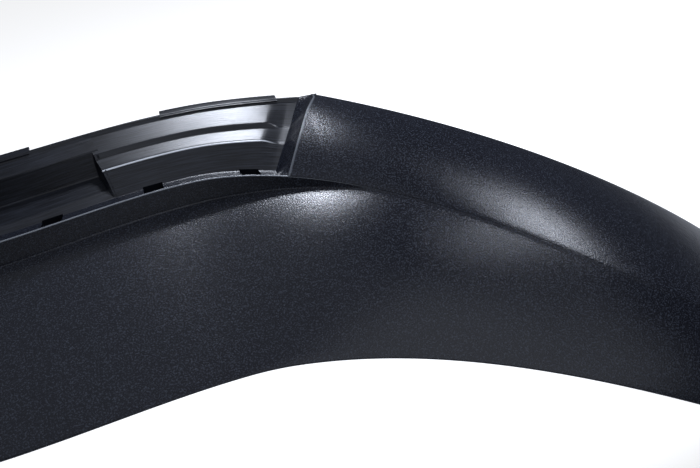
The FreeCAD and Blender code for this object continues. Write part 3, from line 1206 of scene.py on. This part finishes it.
@dataclass
class Foot:
    """Flat screw flange at a wing end, lying on the ground, with two screw holes."""

    shop: Workshop
    holes: list[tuple[float, float]]
    width: float = 30.0
    thickness: float = 3.0
    edge_inset: float = 0.8
    screw_hole: float = 6.5
    bore_sides: int = 32
    bore_span: tuple[float, float] = (-10.0, 20.0)
    rows: int = 60
    columns: int = 6

    def outer(self, station: np.ndarray) -> np.ndarray:
        """Outer outline of the wing end.

        Args:
            station: Angles on the plan curve.

        Returns:
            One open outline per station.
        """
        form = self.shop.form
        foot = point(form.edge_height(station), 0.0)
        return polyline(foot, form.seat_line(station), form.wing_edge(station))

    def ground_line(self, depth: float) -> np.ndarray:
        """Points where the wing end's outline, moved in by a depth, meets the ground.

        Args:
            depth: Depth in millimetres.

        Returns:
            Points in metres, from the lower edge to the wing's upper edge.
        """
        form = self.shop.form
        fine = np.linspace(-form.plan_end, form.plan_end, self.shop.fine_stations)
        corner = offset(self.outer(fine), depth)
        share = np.linspace(0.0, 1.0, self.rows)[None, :, None]
        low = corner[:, None, 0] + np.clip(2.0 * share, 0.0, 1.0) * (corner[:, None, 1] - corner[:, None, 0])
        section = low + np.clip(2.0 * share - 1.0, 0.0, 1.0) * (corner[:, None, 2] - corner[:, None, 1])
        place = form.place(fine[:, None], section)
        station = ground_station(fine, place[..., 2])
        index = np.clip(((station - fine[0]) / (fine[1] - fine[0])).astype(int), 0, len(fine) - 2)
        line = place[index, np.arange(self.rows)]
        line[:, 2] = 0.0
        return line

    def build(self, side: Side) -> None:
        """Make one foot and bore its holes.

        Args:
            side: Half of the car.
        """
        share = np.linspace(0.0, 1.0, self.columns)[None, :, None]
        outer = self.ground_line(self.edge_inset)[:, None]
        inner = self.ground_line(self.width)[:, None]
        lower = outer + share * (inner - outer)
        upper = lower + np.array((0.0, 0.0, self.thickness * MM))
        grid = np.concatenate([lower, upper[:, ::-1]], axis=1)
        made = self.shop.tube(f"{side.word}_foot", (grid, grid[..., :2]), side, self.shop.grained)
        cutters = [self.bore(x, y) for x, y in self.holes if x * side.value > 0.0]
        self.shop.carve(made, cutters)

    def bore(self, x: float, y: float) -> bpy.types.Object:
        """Cylinder that cuts a screw hole.

        Args:
            x: Place across the car, in metres.
            y: Place along the ground, in metres.

        Returns:
            The new object.
        """
        count = self.bore_sides
        turn = np.linspace(0.0, 2.0 * np.pi, count, endpoint=False)
        radius = self.screw_hole * MM / 2.0
        rim = np.stack([x + np.cos(turn) * radius, y + np.sin(turn) * radius], axis=1)
        low, high = (np.column_stack([rim, np.full(count, level * MM)]) for level in self.bore_span)
        number = np.arange(count)
        ahead = np.roll(number, -1)
        sides = np.stack([number, ahead, ahead + count, number + count], axis=1).tolist()
        caps = [number[::-1].tolist(), (number + count).tolist()]
        mesh = bpy.data.meshes.new("screw_bore")
        mesh.from_pydata(np.concatenate([low, high]).tolist(), [], sides + caps)
        return linked("screw_bore", mesh)


@dataclass(frozen=True)
class Lamp:
    """Soft oblong lamp: its place, the point it faces and its two sides in metres, its power in watts."""

    name: str
    spot: tuple[float, float, float]
    aim: tuple[float, float, float]
    size: tuple[float, float]
    power: float

    def build(self, colour: str) -> None:
        """Add the lamp with a light of an sRGB hex colour.

        Args:
            colour: Six hex digits after a hash sign.
        """
        data = bpy.data.lights.new(self.name, "AREA")
        data.shape = "RECTANGLE"
        data.size, data.size_y = self.size
        data.energy = self.power
        data.color = linear(colour)[:3]
        made = linked(self.name, data)
        made.location = self.spot
        made.rotation_euler = (Vector(self.aim) - Vector(self.spot)).to_track_quat("-Z", "Y").to_euler()


# The two spots are the photograph's compact lamps, each placed where the part's face mirrors it to the camera
LAMPS = (
    Lamp("ceiling", (-0.2, -0.1, 2.3), (0.0, 0.0, 0.3), (2.2, 2.2), 5.0),
    Lamp("front", (1.1, -1.3, 1.7), (0.4, 0.0, 0.2), (1.7, 1.7), 7.5),
    Lamp("high_spot", (0.60, 0.95, 1.50), (0.28, 0.1, 0.36), (0.22, 0.2), 15.0),
    Lamp("side_spot", (1.44, 0.22, 1.30), (0.51, -0.03, 0.28), (0.22, 0.22), 5.5),
)


@dataclass
class Studio:
    """Pale floor, soft lamps, white surroundings and the camera at the photograph's viewpoint."""

    form: SpoilerForm
    floor_size: float = 30.0
    floor_colour: str = "#F4F4F4"
    floor_lift: float = 0.76
    air_colour: str = "#E6ECF9"
    world_strength: float = 0.09
    focal_px: float = 850.0
    sensor_mm: float = 36.0
    # Camera against the crown of the lower edge: millimetres, then turns in radians
    camera_place: tuple[float, float, float] = (216.2, -508.7, 523.2)
    camera_yaw: float = 0.1837
    camera_pitch: float = 0.6798
    camera_roll: float = -0.1798

    def camera(self) -> None:
        """Add the camera: yaw and pitch set its aim, roll turns its frame, the part's lean turns all three."""
        yaw, pitch, roll = self.camera_yaw, self.camera_pitch, self.camera_roll
        aim = np.array([math.sin(yaw) * math.cos(pitch), math.cos(yaw) * math.cos(pitch), -math.sin(pitch)])
        level = np.array([math.cos(yaw), -math.sin(yaw), 0.0])
        above = np.cross(level, aim)
        right = level * math.cos(roll) + above * math.sin(roll)
        up = -level * math.sin(roll) + above * math.cos(roll)
        lean = np.array(Matrix.Rotation(math.radians(self.form.rest_lean), 3, "X"))
        turn = lean @ np.stack([right, up, -aim], axis=1)
        across, height, forward = self.camera_place
        forward += self.form.crown_height
        spot = self.form.at_rest(np.array(across), np.array(height), np.array(forward))
        data = bpy.data.cameras.new("camera")
        data.sensor_width = self.sensor_mm
        data.lens = self.focal_px / PHOTO_WIDTH_PX * self.sensor_mm
        made = linked("camera", data)
        made.matrix_world = Matrix.Translation(Vector(spot)) @ Matrix(turn.tolist()).to_4x4()
        bpy.context.scene.camera = made

    def floor(self) -> None:
        """Add the floor: a matt board that keeps shadows, lifted to white by a glow for the camera alone."""
        half = self.floor_size / 2.0
        corners = [(-half, -half, 0.0), (half, -half, 0.0), (half, half, 0.0), (-half, half, 0.0)]
        mesh = bpy.data.meshes.new("floor")
        mesh.from_pydata(corners, [], [(0, 1, 2, 3)])
        made = linked("floor", mesh)
        finish = bare_material("White board, matt")
        tree = finish.node_tree
        path = add_node(tree, "ShaderNodeLightPath")
        board = add_node(tree, "ShaderNodeBsdfDiffuse", {"Color": linear(self.floor_colour)})
        lift = add_node(tree, "ShaderNodeMath", {"operation": "MULTIPLY", 1: self.floor_lift},
                        {0: path.outputs["Is Camera Ray"]})
        glow = add_node(tree, "ShaderNodeEmission", {"Color": WHITE}, {"Strength": lift.outputs["Value"]})
        both = add_node(tree, "ShaderNodeAddShader",
                        links={0: board.outputs["BSDF"], 1: glow.outputs["Emission"]})
        add_node(tree, "ShaderNodeOutputMaterial", links={"Surface": both.outputs["Shader"]})
        mesh.materials.append(finish)

    def world(self) -> None:
        """White surroundings for the camera and a dim, cool grey for the light on the part."""
        world = bpy.data.worlds.new("studio")
        bpy.context.scene.world = world
        world.use_nodes = True
        tree = world.node_tree
        tree.nodes.clear()
        path = add_node(tree, "ShaderNodeLightPath")
        soft = add_node(tree, "ShaderNodeBackground",
                        {"Color": linear(self.air_colour), "Strength": self.world_strength})
        white = add_node(tree, "ShaderNodeBackground", {"Color": WHITE, "Strength": 1.0})
        mixed = add_node(tree, "ShaderNodeMixShader",
                         links={"Fac": path.outputs["Is Camera Ray"], 1: soft.outputs["Background"],
                                2: white.outputs["Background"]})
        add_node(tree, "ShaderNodeOutputWorld", links={"Surface": mixed.outputs["Shader"]})

    def build(self) -> None:
        """Add everything around the part."""
        self.floor()
        self.world()
        for lamp in LAMPS:
            lamp.build(self.air_colour)
        self.camera()


def fitted_form(cad_low: Vector) -> SpoilerForm:
    """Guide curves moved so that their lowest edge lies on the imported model's box.

    Args:
        cad_low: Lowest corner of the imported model.

    Returns:
        The moved form.
    """
    form = SpoilerForm()
    station = np.linspace(-form.plan_end, form.plan_end, FIT_STATIONS)
    line = form.place(station, point(form.edge_height(station), 0.0))
    nearest = line[line[:, 2] > 0.0][:, 1].min()
    return replace(form, rest_shift=(cad_low.y - nearest) / MM)


def main() -> None:
    """Build the dressed spoiler and the studio."""
    logging.basicConfig(level=logging.INFO, format="%(message)s")
    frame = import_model()
    holes = [tuple(mount["pos_m"][:2]) for mount in frame["record"]["mounts"] if mount["kind"] == "bore"]
    form = fitted_form(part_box(NODE)[0])
    shop = Workshop(form, GrainedPolypropylene().material(), SmoothPolypropylene().material())
    Apron(shop).build()
    for side in Side:
        Wing(shop).build(side)
        Foot(shop, holes).build(side)
    Flange(shop).build()
    Studio(form).build()
    bpy.context.scene.view_settings.view_transform = "Standard"


if __name__ == "__main__":
    main()
